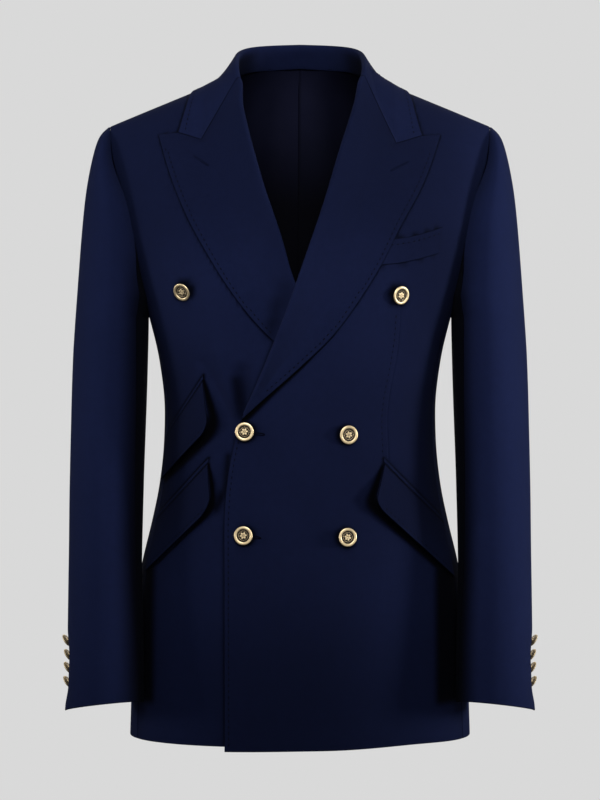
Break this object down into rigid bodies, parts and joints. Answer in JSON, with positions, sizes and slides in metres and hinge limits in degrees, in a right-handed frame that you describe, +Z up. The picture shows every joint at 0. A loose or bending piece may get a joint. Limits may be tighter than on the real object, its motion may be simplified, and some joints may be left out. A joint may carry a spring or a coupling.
{
  "type": "double breasted blazer",
  "caption": "Double breasted blazer in navy worsted with peak lapels, slanted flap pockets, a ticket pocket, a breast welt and gold buttons, hollow and standing as worn.",
  "frame": {"origin": "centre of the neck opening, level with the sides of the neck, where the wearer's shoulders hold the jacket", "axes": "+Z up, the front faces -Y, +X is the wearer's left side, which carries the over front"},
  "size_m": [0.5134, 0.261, 0.7841],
  "materials": {
    "navy_worsted": "matt worsted twill",
    "dark_lining": "smooth satin",
    "gold_metal": "antique gold plate"
  },
  "bodies": {
    "root": {"front_left": "navy_worsted", "side_left": "navy_worsted", "back_left": "navy_worsted", "sleeve_top_left": "navy_worsted", "sleeve_under_left": "navy_worsted", "lapel_left": "navy_worsted", "front_right": "navy_worsted", "side_right": "navy_worsted", "back_right": "navy_worsted", "sleeve_top_right": "navy_worsted", "sleeve_under_right": "navy_worsted", "lapel_right": "navy_worsted", "collar_fall": "navy_worsted", "collar_stand": "navy_worsted", "flap_left": "navy_worsted", "flap_right": "navy_worsted", "flap_ticket": "navy_worsted", "jet_left": "navy_worsted", "jet_right": "navy_worsted", "jet_ticket": "navy_worsted", "welt_left": "navy_worsted", "lining_left": "dark_lining", "lining_right": "dark_lining", "button_top_right": "gold_metal", "button_top_left": "gold_metal", "button_mid_right": "gold_metal", "button_mid_left": "gold_metal", "button_low_right": "gold_metal", "button_low_left": "gold_metal", "cuff_button_left_1": "gold_metal", "cuff_button_left_2": "gold_metal", "cuff_button_left_3": "gold_metal", "cuff_button_left_4": "gold_metal", "cuff_button_right_1": "gold_metal", "cuff_button_right_2": "gold_metal", "cuff_button_right_3": "gold_metal", "cuff_button_right_4": "gold_metal"}
  },
  "joints": []
}
